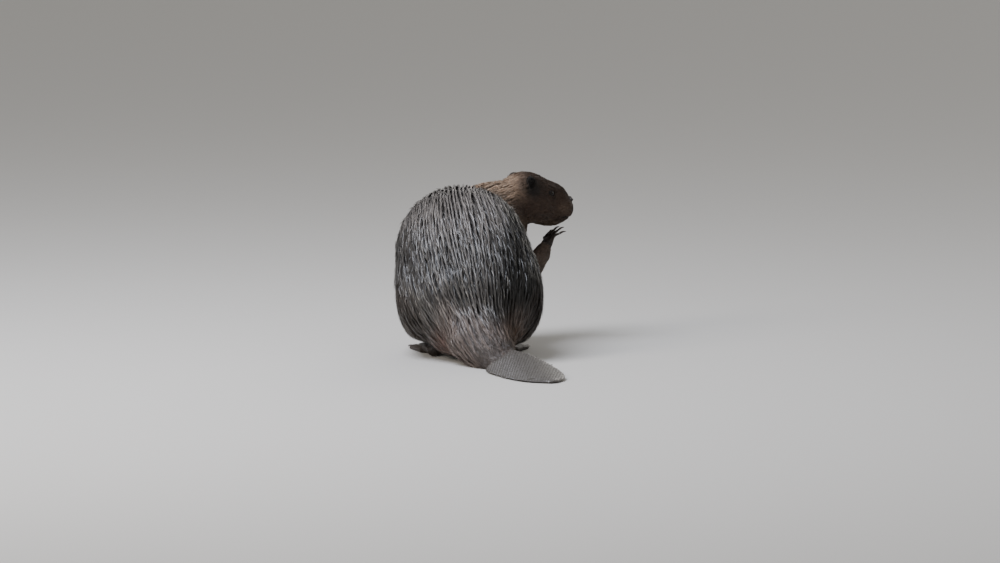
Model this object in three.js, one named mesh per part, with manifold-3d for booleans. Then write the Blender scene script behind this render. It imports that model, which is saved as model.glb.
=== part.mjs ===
// A life-size adult beaver, sitting hunched on its haunches with its head turned to the right.
// Millimetres, +Z up. The beaver faces +Y, its right side is +X, and it sits on the plane z = 0.
// The flesh is a field of named lumps, wrapped in skins that follow each limb's own path.
// The whole body is then parted with thin cuts. All outlines run out to the tips of the coat.
import * as THREE from 'three';
import { mergeVertices } from 'three/addons/utils/BufferGeometryUtils.js';
import Module from 'manifold-3d';

const wasm = await Module();
wasm.setup();

// Driving dimensions
const gap = 0.3; // clear space left by every cut
const blend = 9; // how softly one lump runs into the next
const headBlend = 5;
const limbDome = 0.45; // how far a limb's end swells out, as a share of its half height
const hipHalfWidth = 162;
const backHeight = 374;
const bodyReach = 330; // farthest flesh from the spine's path
const headReach = 120;
const headYaw = 68; // degrees, the head turned to the right of straight ahead
const headPitch = -9;
const headLength = 158;
const headBase = new THREE.Vector3(83, 392, 326);
const tailYaw = 27; // degrees, the tail swings to the right behind the body
const tailRootLength = 88;
const bladeLength = 258;
const bladeWidth = 128;
const bladeThickness = 23;
const bladeEdge = 6;
const hindFootYaw = 2;
const hindFootApart = 74; // from the middle of the body to the middle of each sole
const webThickness = 5;
const eyeRadius = 7;
const earRadius = 17;
const farAway = 2000;

const degrees = Math.PI / 180;
const up = new THREE.Vector3(0, 0, 1);
const point = (x, y, z) => new THREE.Vector3(x, y, z);

// Colours of the wet coat, bare skin and horn
const finishes = {
  backCoat: { color: 0x57504b, roughness: 0.55 },
  headCoat: { color: 0x5c4636, roughness: 0.65 },
  legCoat: { color: 0x4a3d33, roughness: 0.65 },
  footSkin: { color: 0x3b3531, roughness: 0.5 },
  tailSkin: { color: 0x6a6663, roughness: 0.4 },
  earSkin: { color: 0x2b2522, roughness: 0.7 },
  noseSkin: { color: 0x2a211d, roughness: 0.4 },
  eyeGloss: { color: 0x0d0a08, roughness: 0.08 },
  horn: { color: 0x2e2620, roughness: 0.35 },
};

const group = new THREE.Group();

// ---- The flesh: ellipsoid lumps and how they blend ----

// The axes of a limb or head: forward, right and up, as a matrix that takes local places to the body.
function axesAt(origin, yaw, pitch = 0, roll = 0) {
  const turn = new THREE.Euler(pitch * degrees, roll * degrees, -yaw * degrees, 'ZXY');
  return new THREE.Matrix4().makeRotationFromEuler(turn).setPosition(origin);
}

const bodyAxes = new THREE.Matrix4();

// One lump: its centre and its half sizes across, along and up, in the given axes.
function lump(centre, radii, axes = bodyAxes) {
  const place = new THREE.Matrix4().makeTranslation(...centre).premultiply(axes);
  return { inverse: place.invert(), radii };
}

function lumpDistance({ inverse, radii }, p) {
  const q = p.clone().applyMatrix4(inverse);
  const [a, b, c] = radii;
  const k0 = Math.hypot(q.x / a, q.y / b, q.z / c);
  const k1 = Math.hypot(q.x / (a * a), q.y / (b * b), q.z / (c * c));
  return k1 < 1e-9 ? -Math.min(a, b, c) : (k0 * (k0 - 1)) / k1;
}

// Signed distance to a set of lumps that run softly into each other.
function fleshOf(lumps, softness = blend) {
  return (p) => {
    let sum = 0;
    for (const one of lumps) {
      sum += Math.exp(-lumpDistance(one, p) / softness);
    }
    return -softness * Math.log(sum);
  };
}

// ---- Skins: closed meshes wrapped round a path through the flesh ----

const searchSteps = 80; // first coarse steps out along a ray
const halvings = 18; // then its last step is halved this often

// How far out along a ray the flesh ends, looking out from inside it.
function surfaceAlong(field, from, direction, reach) {
  const step = reach / searchSteps;
  const at = (r) => field(from.clone().addScaledVector(direction, r));
  let inner = 0;
  while (inner < reach && at(inner + step) < 0) inner += step;
  let outer = inner + step;
  for (let i = 0; i < halvings; i++) {
    const middle = (inner + outer) / 2;
    if (at(middle) < 0) inner = middle;
    else outer = middle;
  }
  return (inner + outer) / 2;
}

// Rows of points between two poles become one closed mesh.
function closedRows(start, rows, end) {
  const sides = rows[0].length;
  const points = [start, ...rows.flat(), end];
  const last = points.length - 1;
  const faces = [];
  for (let k = 0; k < sides; k++) {
    const next = (k + 1) % sides;
    faces.push(0, 1 + k, 1 + next);
    const base = 1 + (rows.length - 1) * sides;
    faces.push(last, base + next, base + k);
    for (let i = 0; i + 1 < rows.length; i++) {
      const a = 1 + i * sides;
      const b = a + sides;
      faces.push(a + k, b + next, a + next, a + k, b + k, b + next);
    }
  }
  const geometry = new THREE.BufferGeometry();
  geometry.setAttribute('position', new THREE.Float32BufferAttribute(points.flatMap((p) => p.toArray()), 3));
  geometry.setIndex(faces);
  return geometry;
}

// A skin wrapped round a curved path, with rounded ends that look out from the path's end points.
function wrap(field, pathPoints, { rings, sides, reach, capRings }) {
  const path = new THREE.CatmullRomCurve3(pathPoints);
  const rows = [];
  const row = (t, lean) => {
    const centre = path.getPointAt(t);
    const along = path.getTangentAt(t);
    const side = along.clone().cross(up).normalize();
    const top = side.clone().cross(along).normalize();
    return Array.from({ length: sides }, (_, k) => {
      const turn = (2 * Math.PI * k) / sides;
      const out = side.clone().multiplyScalar(Math.cos(turn)).addScaledVector(top, Math.sin(turn));
      const direction = out.multiplyScalar(Math.cos(lean)).addScaledVector(along, Math.sin(lean));
      return centre.clone().addScaledVector(direction, surfaceAlong(field, centre, direction, reach));
    });
  };
  const pole = (t, sign) => {
    const centre = path.getPointAt(t);
    const direction = path.getTangentAt(t).multiplyScalar(sign);
    return centre.clone().addScaledVector(direction, surfaceAlong(field, centre, direction, reach));
  };
  for (let i = 1; i <= capRings; i++) rows.push(row(0, (-Math.PI / 2) * (1 - i / (capRings + 1))));
  for (let i = 0; i < rings; i++) rows.push(row(i / (rings - 1), 0));
  for (let i = 1; i <= capRings; i++) rows.push(row(1, (Math.PI / 2) * (i / (capRings + 1))));
  return solid(closedRows(pole(0, -1), rows, pole(1, 1)));
}

// A limb with a round or oval section at each joint: rows of [place, half width, half height].
// Its ends are flat, or domed by a share of their height.
function limb(joints, { sides, grow = 0, stepsBetween, domes = [limbDome, limbDome] }) {
  const path = new THREE.CatmullRomCurve3(joints.map(([place]) => point(...place)), false, 'centripetal');
  const steps = (joints.length - 1) * stepsBetween;
  const rows = [];
  for (let i = 0; i <= steps; i++) {
    const t = i / steps;
    const at = t * (joints.length - 1);
    const j = Math.min(Math.floor(at), joints.length - 2);
    const mix = at - j;
    const width = THREE.MathUtils.lerp(joints[j][1], joints[j + 1][1], mix) + grow;
    const height = THREE.MathUtils.lerp(joints[j][2], joints[j + 1][2], mix) + grow;
    const centre = path.getPoint(t);
    const along = path.getTangent(t);
    const side = along.clone().cross(up).normalize();
    const top = side.clone().cross(along).normalize();
    rows.push(Array.from({ length: sides }, (_, k) => {
      const turn = (2 * Math.PI * k) / sides;
      return centre.clone()
        .addScaledVector(side, width * Math.cos(turn))
        .addScaledVector(top, height * Math.sin(turn));
    }));
  }
  const start = path.getPoint(0).addScaledVector(path.getTangent(0), -domes[0] * joints[0][2] - grow);
  const end = path.getPoint(1).addScaledVector(path.getTangent(1), domes[1] * joints.at(-1)[2] + grow);
  return solid(closedRows(start, rows, end));
}

// ---- Solids, cuts and finished parts ----

// A solid shaped at the origin is moved to its own axes.
function placed(piece, axes) {
  const { vertProperties, triVerts } = piece.getMesh();
  const geometry = new THREE.BufferGeometry();
  geometry.setAttribute('position', new THREE.BufferAttribute(new Float32Array(vertProperties), 3));
  geometry.setIndex(Array.from(triVerts));
  return solid(geometry.applyMatrix4(axes));
}

function solid(geometry) {
  const merged = mergeVertices(bare(geometry), 1e-4);
  return new wasm.Manifold(new wasm.Mesh({
    numProp: 3,
    vertProperties: new Float32Array(merged.attributes.position.array),
    triVerts: new Uint32Array(merged.index.array),
  }));
}

function bare(geometry) {
  const copy = geometry.clone();
  copy.deleteAttribute('normal');
  copy.deleteAttribute('uv');
  return copy;
}

// All the space in front of a plane.
function beyond(place, normal) {
  const box = new THREE.BoxGeometry(farAway, farAway, farAway);
  box.translate(0, 0, farAway / 2);
  box.applyQuaternion(new THREE.Quaternion().setFromUnitVectors(up, normal.clone().normalize()));
  box.translate(place.x, place.y, place.z);
  return solid(box);
}

function ellipsoid(centre, radii, axes = bodyAxes, across = 20, around = 14) {
  const ball = new THREE.SphereGeometry(1, across, around);
  ball.scale(...radii).translate(...centre).applyMatrix4(axes);
  return solid(ball);
}

function addPart(name, piece, finish) {
  const { vertProperties, triVerts } = piece.getMesh();
  const geometry = new THREE.BufferGeometry();
  geometry.setAttribute('position', new THREE.BufferAttribute(new Float32Array(vertProperties), 3));
  geometry.setIndex(Array.from(triVerts));
  geometry.computeVertexNormals();
  const mesh = new THREE.Mesh(geometry, new THREE.MeshStandardMaterial({ ...finishes[finish], metalness: 0 }));
  mesh.name = name;
  group.add(mesh);
}

// ---- Tail axes: y runs back along the tail from the rump ----

const tailAxes = axesAt(point(22, 20, 0), 180 - tailYaw);
const inTail = (x, y, z) => point(x, y, z).applyMatrix4(tailAxes);

// ---- Torso, with the furry root of the tail ----

const sides = [-1, 1];
const sideName = (side) => (side < 0 ? 'left' : 'right');

const torsoLumps = [
  lump([8, 108, 126], [hipHalfWidth - 14, 118, 130]), // rump
  lump([-3, 150, 184], [hipHalfWidth - 9, 122, 132]), // croup
  lump([-17, 204, backHeight - 150], [hipHalfWidth - 16, 142, 146]), // arched loin
  lump([2, 205, 136], [hipHalfWidth - 16, 122, 104]), // belly
  lump([10, 292, 222], [116, 102, 118]), // ribs
  lump([32, 336, 266], [92, 80, 88]), // shoulders
  lump([60, 368, 296], [72, 60, 64]), // neck
];
const limbLumps = [
  ...sides.map((side) => lump([side * 104 + 2, 152, 122], [56, 106, 86])), // thighs
  ...sides.map((side) => lump([side * 104, 205, 94], [43, 64, 56])), // knees
  lump([86, 270, 182], [38, 44, 58]), // right upper arm
  lump([-70, 316, 182], [38, 44, 58]), // left upper arm
];
const tailLumps = [
  lump([0, 10, 56], [76, 62, 60], tailAxes),
  lump([0, 44, 34], [54, 62, 42], tailAxes),
  lump([0, tailRootLength - 10, 15], [38, 46, 24], tailAxes),
];

const spine = [
  inTail(0, 72, 18),
  inTail(0, 34, 42),
  point(17, 48, 84),
  point(6, 112, 136),
  point(-4, 192, 188),
  point(8, 276, 228),
  point(36, 338, 272),
  point(70, 376, 304),
];

// ---- Head, in its own axes: x right, y forward to the nose, z up ----

const headAxes = axesAt(headBase, headYaw, headPitch);
const inHead = (x, y, z) => point(x, y, z).applyMatrix4(headAxes);
const headLumps = [
  lump([0, 42, 12], [54, 58, 46], headAxes), // cranium
  lump([0, 20, -24], [54, 50, 40], headAxes), // throat
  lump([0, 90, 17], [31, 50, 27], headAxes), // forehead and bridge of the nose
  lump([0, 112, -8], [33, 40, 33], headAxes), // muzzle
  lump([0, 98, -38], [28, 42, 20], headAxes), // lower jaw
  lump([0, headLength - 20, -12], [27, 20, 25], headAxes), // upper lip
  ...sides.map((side) => lump([side * 33, 58, -12], [30, 46, 40], headAxes)), // cheeks
  ...sides.map((side) => lump([side * 32, 80, 26], [11, 18, 9], headAxes)), // brows
  ...sides.map((side) => lump([side * 18, headLength - 30, -16], [18, 24, 21], headAxes)), // whisker pads
];

const floorUp = beyond(point(0, 0, 0), up);
const wholeFlesh = fleshOf([...torsoLumps, ...limbLumps, ...tailLumps]);
const headFlesh = fleshOf([...headLumps, torsoLumps.at(-1), torsoLumps.at(-2)], headBlend);

const torso = wrap(wholeFlesh, spine, { rings: 19, sides: 22, reach: bodyReach, capRings: 3 });
const skullPath = [inHead(0, -14, -4), inHead(0, 40, -4), inHead(0, 90, -8), inHead(0, 128, -10)];
const skull = wrap(headFlesh, skullPath, { rings: 11, sides: 18, reach: headReach, capRings: 3 });

// ---- Tail blade ----

const bladeRings = 11;
const bladeSides = 14;
const bladeNeck = 0.47; // width where it leaves the root, as a share of the widest
const bladeTip = 0.16; // width of the last ring before the rounded end
const bladeLift = 38; // how far its right edge stands off the floor near the root
const bladeStart = tailRootLength + 8;
const bladeCap = 4; // how far its two ends round out past the first and last rings

// The flat paddle: a lens section whose width follows an oval and whose underside lies on the floor.
function tailBlade(grow = 0) {
  const rows = [];
  const standOff = (t, across) => bladeLift * Math.pow(1 - t, 1.15) * Math.pow((1 - across) / 2, 1.6);
  for (let i = 0; i < bladeRings; i++) {
    const t = i / (bladeRings - 1);
    const along = THREE.MathUtils.lerp(-grow, bladeLength + grow, t);
    const oval = Math.sqrt(Math.max(0, 1 - Math.pow(Math.abs(2 * t - 1), 2.6)));
    const shoulder = bladeNeck * Math.pow(1 - t, 1.5);
    const share = Math.max(bladeTip, Math.min(1, Math.hypot(oval, shoulder)));
    const width = grow + (bladeWidth / 2) * share;
    const depth = THREE.MathUtils.lerp(bladeThickness, bladeEdge + 3, Math.pow(t, 0.8));
    rows.push(Array.from({ length: bladeSides }, (_, k) => {
      const turn = (2 * Math.PI * k) / bladeSides;
      const across = Math.cos(turn);
      const crown = (depth - bladeEdge) * (1 - across * across);
      const height = Math.sin(turn);
      const top = bladeEdge / 2 + (bladeEdge / 2 + crown) * Math.sqrt(Math.max(0, height)) + grow;
      const bottom = (bladeEdge / 2) * (1 - Math.sqrt(Math.max(0, -height))) - grow;
      const z = Math.abs(height) < 1e-6 ? bladeEdge / 2 : height > 0 ? top : bottom;
      return inTail(across * width, bladeStart + along, z + standOff(t, across));
    }));
  }
  const start = inTail(0, bladeStart - bladeCap - grow, bladeThickness / 2 + standOff(0, 0));
  const end = inTail(0, bladeStart + bladeLength + bladeCap + grow, bladeEdge / 2);
  return solid(closedRows(start, rows, end));
}

// ---- Hind legs ----

// Each toe: how far it starts from the middle of the foot, its turn, its length and its thickness.
const toes = [
  { place: -22, turn: -17, length: 66, thick: 8 },
  { place: -11, turn: -9, length: 83, thick: 8.5 },
  { place: 1, turn: 0, length: 95, thick: 9.5 },
  { place: 13, turn: 9, length: 93, thick: 9.5 },
  { place: 24, turn: 19, length: 75, thick: 8.5 },
];
const toeStart = 66;
const hindClawLength = 19;

// The foot in its own axes: y runs forward from the heel along the sole.
const hindFootAxes = (side) => axesAt(point(side * hindFootApart, 120, 0), side * hindFootYaw);
const toePoint = (side, toe, along, z) => [
  side * (toe.place + Math.sin(toe.turn * degrees) * along),
  toeStart + Math.cos(toe.turn * degrees) * along,
  z,
];

function footWeb(side, grow) {
  const shape = new THREE.Shape();
  const onWeb = (toe, along) => new THREE.Vector2(...toePoint(side, toe, along, 0));
  const tips = toes.map((toe) => onWeb(toe, toe.length * 0.86));
  const roots = toes.map((toe) => onWeb(toe, -8));
  shape.moveTo(roots[0].x, roots[0].y);
  shape.lineTo(tips[0].x, tips[0].y);
  for (let i = 1; i < tips.length; i++) {
    const slack = tips[i - 1].clone().lerp(tips[i], 0.5).lerp(roots[2], 0.24);
    shape.quadraticCurveTo(slack.x, slack.y, tips[i].x, tips[i].y);
  }
  shape.lineTo(roots.at(-1).x, roots.at(-1).y);
  shape.closePath();
  const web = new THREE.ExtrudeGeometry(shape, {
    depth: webThickness + 2 * grow,
    curveSegments: 3,
    bevelEnabled: false,
  });
  return solid(web.translate(0, 0, 1 - grow));
}

const toeSink = 0.5; // the pads are pressed this far into small flats
const hexagonFoot = Math.sin(Math.PI / 3); // half height of a six-sided toe, per unit of its radius

function hindToe(side, toe, grow = 0) {
  const station = (share, wide, high, arch) => [
    toePoint(side, toe, toe.length * share, toe.thick * high * hexagonFoot - toeSink + arch),
    toe.thick * wide,
    toe.thick * high,
  ];
  return limb([
    station(0, 1, 1, 1),
    station(0.55, 0.9, 0.95, 1.5),
    station(1, 0.72, 0.62, 0),
  ], { sides: 6, stepsBetween: 1, grow, domes: [limbDome, 0] });
}

function hindFoot(side, grow = 0) {
  const sole = limb([
    [[0, 8, 16], 17, 17],
    [[0, 34, 17], 21, 18],
    [[side * 1, 84, 9], 33, 11],
  ], { sides: 8, stepsBetween: 2, grow });
  const foot = toes.reduce((all, toe) => all.add(hindToe(side, toe, grow)), sole.add(footWeb(side, grow)));
  return placed(foot, hindFootAxes(side)).intersect(floorUp);
}

function hindClaw(side, toe) {
  const claw = limb([
    [toePoint(side, toe, toe.length - 1, 6.5), 4.6, 3.6],
    [toePoint(side, toe, toe.length + hindClawLength * 0.5, 6.5), 3.9, 2.6],
    [toePoint(side, toe, toe.length + hindClawLength, 3.2), 2, 1.1],
  ], { sides: 5, stepsBetween: 1, domes: [0, limbDome] });
  return placed(claw.subtract(hindToe(side, toe, gap)), hindFootAxes(side));
}

// The flesh of the thigh and knee belongs to the leg; the shank runs down inside it to the heel.
const thighRegion = (side, grow = 0) => ellipsoid(
  [side * 116, 154, 112],
  [62 + grow, 114 + grow, 104 + grow],
  bodyAxes,
  13,
  8,
);
const shank = (side, grow = 0) => limb([
  [[side * 90, 212, 84], 40, 40],
  [[side * 84, 172, 56], 32, 31],
  [[side * hindFootApart, 138, 38], 24, 24],
], { sides: 10, stepsBetween: 1, grow });

// ---- Forelegs, held up under the chin ----

const forelegs = {
  right: {
    upperArm: [[88, 272, 180], [46, 56, 74]],
    joints: [
      [[92, 264, 166], 36, 40],
      [[126, 310, 158], 29, 31],
      [[160, 376, 194], 20, 19],
      [[167, 394, 209], 15, 13],
    ],
    paw: axesAt(point(167, 392, 207), 34, 52, -20),
  },
  left: {
    upperArm: [[-72, 318, 180], [46, 56, 74]],
    joints: [
      [[-74, 310, 164], 36, 40],
      [[-42, 360, 152], 29, 31],
      [[28, 408, 182], 20, 19],
      [[44, 418, 196], 15, 13],
    ],
    paw: axesAt(point(42, 417, 194), 60, 46, 16),
  },
};
const fingers = [
  { place: -12.5, turn: -38, length: 19, thick: 3.6 },
  { place: -7.5, turn: -17, length: 27, thick: 3.9 },
  { place: 0, turn: 0, length: 31, thick: 4 },
  { place: 7.5, turn: 16, length: 28, thick: 3.9 },
  { place: 12.5, turn: 37, length: 20, thick: 3.6 },
];
const palmLength = 27;
const foreClawLength = 15;

const upperArm = (name, grow = 0) => {
  const [centre, radii] = forelegs[name].upperArm;
  return ellipsoid(centre, radii.map((r) => r + grow), bodyAxes, 11, 6);
};
const forearm = (name, grow = 0) => limb(forelegs[name].joints, { sides: 10, stepsBetween: 1, grow });
const fingerPoint = (finger, along, z) => [
  finger.place + Math.sin(finger.turn * degrees) * along,
  palmLength - 4 + Math.cos(finger.turn * degrees) * along,
  z,
];

const foreFinger = (finger, grow = 0) => limb([
  [fingerPoint(finger, -4, -2), finger.thick, finger.thick],
  [fingerPoint(finger, finger.length * 0.55, 0), finger.thick, finger.thick],
  [fingerPoint(finger, finger.length, -6), finger.thick * 0.85, finger.thick * 0.8],
], { sides: 6, stepsBetween: 1, grow, domes: [limbDome, 0] });

function forePaw(name, grow = 0) {
  const palm = limb([
    [[0, -3, 0], 14, 12],
    [[0, palmLength * 0.55, -1], 17, 10],
    [[0, palmLength, -2], 15, 6.5],
  ], { sides: 10, stepsBetween: 1, grow });
  const paw = fingers.reduce((all, finger) => all.add(foreFinger(finger, grow)), palm);
  return placed(paw, forelegs[name].paw);
}

function foreClaw(name, finger) {
  const claw = limb([
    [fingerPoint(finger, finger.length - 1, -5.5), 3.1, 3],
    [fingerPoint(finger, finger.length + foreClawLength * 0.5, -9), 2.5, 2.4],
    [fingerPoint(finger, finger.length + foreClawLength * 0.85, -15), 1, 1],
  ], { sides: 5, stepsBetween: 1, domes: [0, limbDome] });
  return placed(claw.subtract(foreFinger(finger, gap)), forelegs[name].paw);
}

// ---- Ears, eyes and nose ----

const earAxes = (side) => axesAt(inHead(side * 46, 36, 30), headYaw + side * 58, headPitch + 8, side * 34);

function ear(side, grow = 0) {
  const outer = ellipsoid(
    [0, 0, 4],
    [earRadius + grow, 7 + grow, earRadius + 3 + grow],
    earAxes(side),
    12,
    6,
  );
  const cup = ellipsoid([0, 7, 7], [earRadius - 4, 8, earRadius - 2], earAxes(side), 8, 6);
  return grow ? outer : outer.subtract(cup);
}

const eyeForward = 86;
const eyeAbove = 17;
const eyeStandsOut = 2.6;

function eye(side, grow = 0) {
  const from = inHead(0, eyeForward, eyeAbove);
  const out = inHead(side, eyeForward, eyeAbove).sub(from);
  const reach = surfaceAlong(headFlesh, from, out, headReach);
  const centre = from.addScaledVector(out, reach - eyeRadius + eyeStandsOut);
  const r = eyeRadius + grow;
  return ellipsoid([0, 0, 0], [r, r, r], axesAt(centre, headYaw), 8, 6);
}

const nosePad = (grow = 0) => ellipsoid(
  [0, headLength - 7, 6],
  [16 + grow, 7 + grow, 10.5 + grow],
  headAxes,
  10,
  6,
);

// ---- The body parted into its named pieces ----

const neckCut = { place: point(44, 346, 282), normal: point(0.56, 0.63, 0.53).normalize() };
const headCut = { place: inHead(0, 4, 0), normal: inHead(0, 5, 0).sub(inHead(0, 4, 0)) };
const tailCut = { place: point(20, 12, 66), normal: point(0.4, -0.76, -0.5).normalize() };
const past = (cut, shift = 0) => beyond(cut.place.clone().addScaledVector(cut.normal, shift), cut.normal);

const blade = tailBlade();
const tailRoot = torso.intersect(past(tailCut)).subtract(tailBlade(gap));
let trunk = torso.subtract(past(neckCut, -gap)).subtract(past(tailCut, -gap));
for (const side of sides) {
  const name = sideName(side);
  trunk = trunk.subtract(thighRegion(side, gap)).subtract(shank(side, gap)).subtract(hindFoot(side, gap));
  trunk = trunk.subtract(upperArm(name, gap)).subtract(forearm(name, gap));
}

const front = torso.add(skull).intersect(past(neckCut));
let head = front.intersect(past(headCut)).subtract(nosePad(gap));
const neck = front.subtract(past(headCut, -gap));
for (const side of sides) {
  head = head.subtract(ear(side, gap)).subtract(eye(side, gap));
}

group.name = 'beaver';
addPart('trunk', trunk.intersect(floorUp), 'backCoat');
addPart('neck', neck, 'headCoat');
addPart('head', head, 'headCoat');
addPart('nose', nosePad(), 'noseSkin');
addPart('tail_root', tailRoot.intersect(floorUp), 'backCoat');
addPart('tail_blade', blade, 'tailSkin');
for (const side of sides) {
  const name = sideName(side);
  const haunch = torso.intersect(thighRegion(side)).subtract(past(tailCut, -gap)).subtract(upperArm(name, gap));
  const leg = haunch.subtract(forearm(name, gap)).add(shank(side)).subtract(hindFoot(side, gap));
  const shoulder = torso.intersect(upperArm(name)).subtract(past(neckCut, -gap));
  const foreleg = shoulder.add(forearm(name)).subtract(forePaw(name, gap));
  addPart(`hind_leg_${name}`, leg.intersect(floorUp), 'legCoat');
  addPart(`hind_foot_${name}`, hindFoot(side), 'footSkin');
  addPart(`foreleg_${name}`, foreleg, 'legCoat');
  addPart(`forefoot_${name}`, forePaw(name), 'footSkin');
  addPart(`ear_${name}`, ear(side), 'earSkin');
  addPart(`eye_${name}`, eye(side), 'eyeGloss');
  for (let i = 0; i < toes.length; i++) {
    addPart(`hind_claw_${name}_${i + 1}`, hindClaw(side, toes[i]), 'horn');
    addPart(`fore_claw_${name}_${i + 1}`, foreClaw(name, fingers[i]), 'horn');
  }
}

// The origin is on the floor, under the middle of the whole animal.
const extent = new THREE.Box3().setFromObject(group);
group.position.set(-(extent.min.x + extent.max.x) / 2, -(extent.min.y + extent.max.y) / 2, 0);

export default group;
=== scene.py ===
import math
import time

import bmesh
import bpy
import numpy as np
from mathutils import Matrix, Vector, noise
from mathutils.kdtree import KDTree


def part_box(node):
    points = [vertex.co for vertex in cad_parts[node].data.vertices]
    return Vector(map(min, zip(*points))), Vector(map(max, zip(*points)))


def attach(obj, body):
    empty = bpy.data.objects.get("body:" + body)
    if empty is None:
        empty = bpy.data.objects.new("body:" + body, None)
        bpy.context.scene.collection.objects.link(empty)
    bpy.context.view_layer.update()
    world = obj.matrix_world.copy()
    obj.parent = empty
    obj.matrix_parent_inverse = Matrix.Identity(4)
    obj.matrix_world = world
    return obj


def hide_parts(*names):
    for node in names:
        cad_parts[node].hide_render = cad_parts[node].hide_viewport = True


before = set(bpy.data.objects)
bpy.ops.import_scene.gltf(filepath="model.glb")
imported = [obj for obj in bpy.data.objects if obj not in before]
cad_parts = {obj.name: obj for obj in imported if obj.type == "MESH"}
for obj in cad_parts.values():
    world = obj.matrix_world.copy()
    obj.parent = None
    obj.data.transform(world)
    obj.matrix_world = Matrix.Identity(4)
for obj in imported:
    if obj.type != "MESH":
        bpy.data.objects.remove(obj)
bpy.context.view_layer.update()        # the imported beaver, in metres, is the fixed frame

chance = np.random.default_rng(11)
mm = 0.001
startTime = time.time()


def say(stage):
    print(f"{time.time() - startTime:6.1f} s  {stage}")


# Small helpers
def linear(code):
    # sRGB hex to the linear numbers that the shaders want
    parts = [int(code[i:i + 2], 16) / 255 for i in (1, 3, 5)]
    return [p / 12.92 if p <= 0.04045 else ((p + 0.055) / 1.055) ** 2.4 for p in parts] + [1.0]


def boxMiddle(node):
    low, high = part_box(node)
    return (low + high) / 2


def unit(vectors):
    return vectors / np.maximum(np.linalg.norm(vectors, axis=-1, keepdims=True), 1e-12)


def dot(a, b):
    return (a * b).sum(-1, keepdims=True)


def ease(values, start, end):
    # 0 before start, 1 past end, smooth between
    t = np.clip((values - start) / (end - start), 0, 1)
    return t * t * (3 - 2 * t)


def cloudy(points, size, seed=0.0):
    # smooth noise from -1 to 1 with lumps of about this size
    return np.array([noise.noise((x / size + seed, y / size, z / size)) for x, y, z in points.tolist()])


def spot(*axes):
    # 1 in the middle and less away from it; each axis gives its values, the middle and the spread
    return np.exp(-sum(((values - middle) / spread) ** 2 for values, middle, spread in axes))


def readAll(items, name, width, kind=np.float32):
    # one property of all the items, a row each
    out = np.empty(len(items) * width, kind)
    items.foreach_get(name, out)
    return out.reshape(-1, width)


def readPoints(mesh):
    return readAll(mesh.vertices, "co", 3).astype(float)


def writePoints(mesh, points):
    mesh.vertices.foreach_set("co", points.astype(np.float32).ravel())
    mesh.update()


def readNormals(mesh):
    return readAll(mesh.vertex_normals, "vector", 3).astype(float)


def readEdges(mesh):
    return readAll(mesh.edges, "vertices", 2, np.int32)


def blur(values, edges, rounds, share=0.5):
    # each point takes on some of its neighbours' mean, round after round
    a, b = edges[:, 0], edges[:, 1]
    size = len(values)
    count = np.maximum(np.bincount(edges.ravel(), minlength=size), 1)
    values = values.reshape(size, -1).copy()
    for _ in range(rounds):
        for column in range(values.shape[1]):
            here = values[:, column]
            around = np.bincount(a, here[b], size) + np.bincount(b, here[a], size)
            values[:, column] = here + share * (around / count - here)
    return values


def newObject(name, mesh):
    piece = bpy.data.objects.new(name, mesh)
    bpy.context.scene.collection.objects.link(piece)
    return piece


def meshOf(bm, name):
    mesh = bpy.data.meshes.new(name)
    bm.to_mesh(mesh)
    bm.free()
    return mesh


def mergedNode(node):
    # the loose triangles of a CAD node, joined at their corners
    bm = bmesh.new()
    bm.from_mesh(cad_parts[node].data)
    bmesh.ops.remove_doubles(bm, verts=bm.verts, dist=1e-6)
    bmesh.ops.recalc_face_normals(bm, faces=bm.faces)
    return bm


def patternOf(bm):
    # the corners and faces of a small shape that joinedCopies repeats
    bm.verts.index_update()
    points = np.array([v.co for v in bm.verts])
    faces = [[v.index for v in f.verts] for f in bm.faces]
    bm.free()
    return points, faces


def smooth(mesh):
    mesh.polygons.foreach_set("use_smooth", np.ones(len(mesh.polygons), bool))


def given(thing, settings):
    # the thing with these settings
    for key, value in settings.items():
        setattr(thing, key, value)
    return thing


def applied(piece):
    # the object keeps its place and takes the mesh that its modifiers make
    graph = bpy.context.evaluated_depsgraph_get()
    mesh = bpy.data.meshes.new_from_object(piece.evaluated_get(graph))
    piece.modifiers.clear()
    old, piece.data = piece.data, mesh
    bpy.data.meshes.remove(old)
    return mesh


def addModifier(piece, kind, **settings):
    given(piece.modifiers.new(kind.lower(), kind), settings)


def finished(piece, slot, material, *nodes):
    piece.data.materials.clear()
    piece.data.materials.append(material)
    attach(piece, "root")
    if nodes:
        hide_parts(*nodes)
    return piece


# Landmarks
headTurn = math.radians(68)      # the head is turned to the animal's right
headNod = math.radians(-9)
noseInHead = Vector((0, 151, 6)) * mm
headAxes = Matrix.Rotation(-headTurn, 3, "Z") @ Matrix.Rotation(headNod, 3, "X")
headBase = boxMiddle("nose") - headAxes @ noseInHead
tailSwing = math.radians(27)     # the tail swings to the right behind the body
tailStart = Vector((-12.1, -67.9, 0)) * mm
tailAxes = Matrix.Rotation(math.radians(180) + tailSwing, 3, "Z")
headWay = np.array(headAxes @ Vector((0, 1, 0)))
tailWay = np.array(tailAxes @ Vector((0, 1, 0)))


def inHead(x, y, z):
    return headBase + headAxes @ (Vector((x, y, z)) * mm)


def inTail(x, y, z):
    return tailStart + tailAxes @ (Vector((x, y, z)) * mm)


def toHead(points):
    # places in the head's own axes, in mm: x right, y forward, z up
    return (points - np.array(headBase)) @ np.array(headAxes) / mm


def toTail(points):
    return (points - np.array(tailStart)) @ np.array(tailAxes) / mm


eyePlaces = {side: boxMiddle(f"eye_{side}") for side in ("left", "right")}
eyeRadius = 7 * mm
sideSign = {"left": -1, "right": 1}


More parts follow.
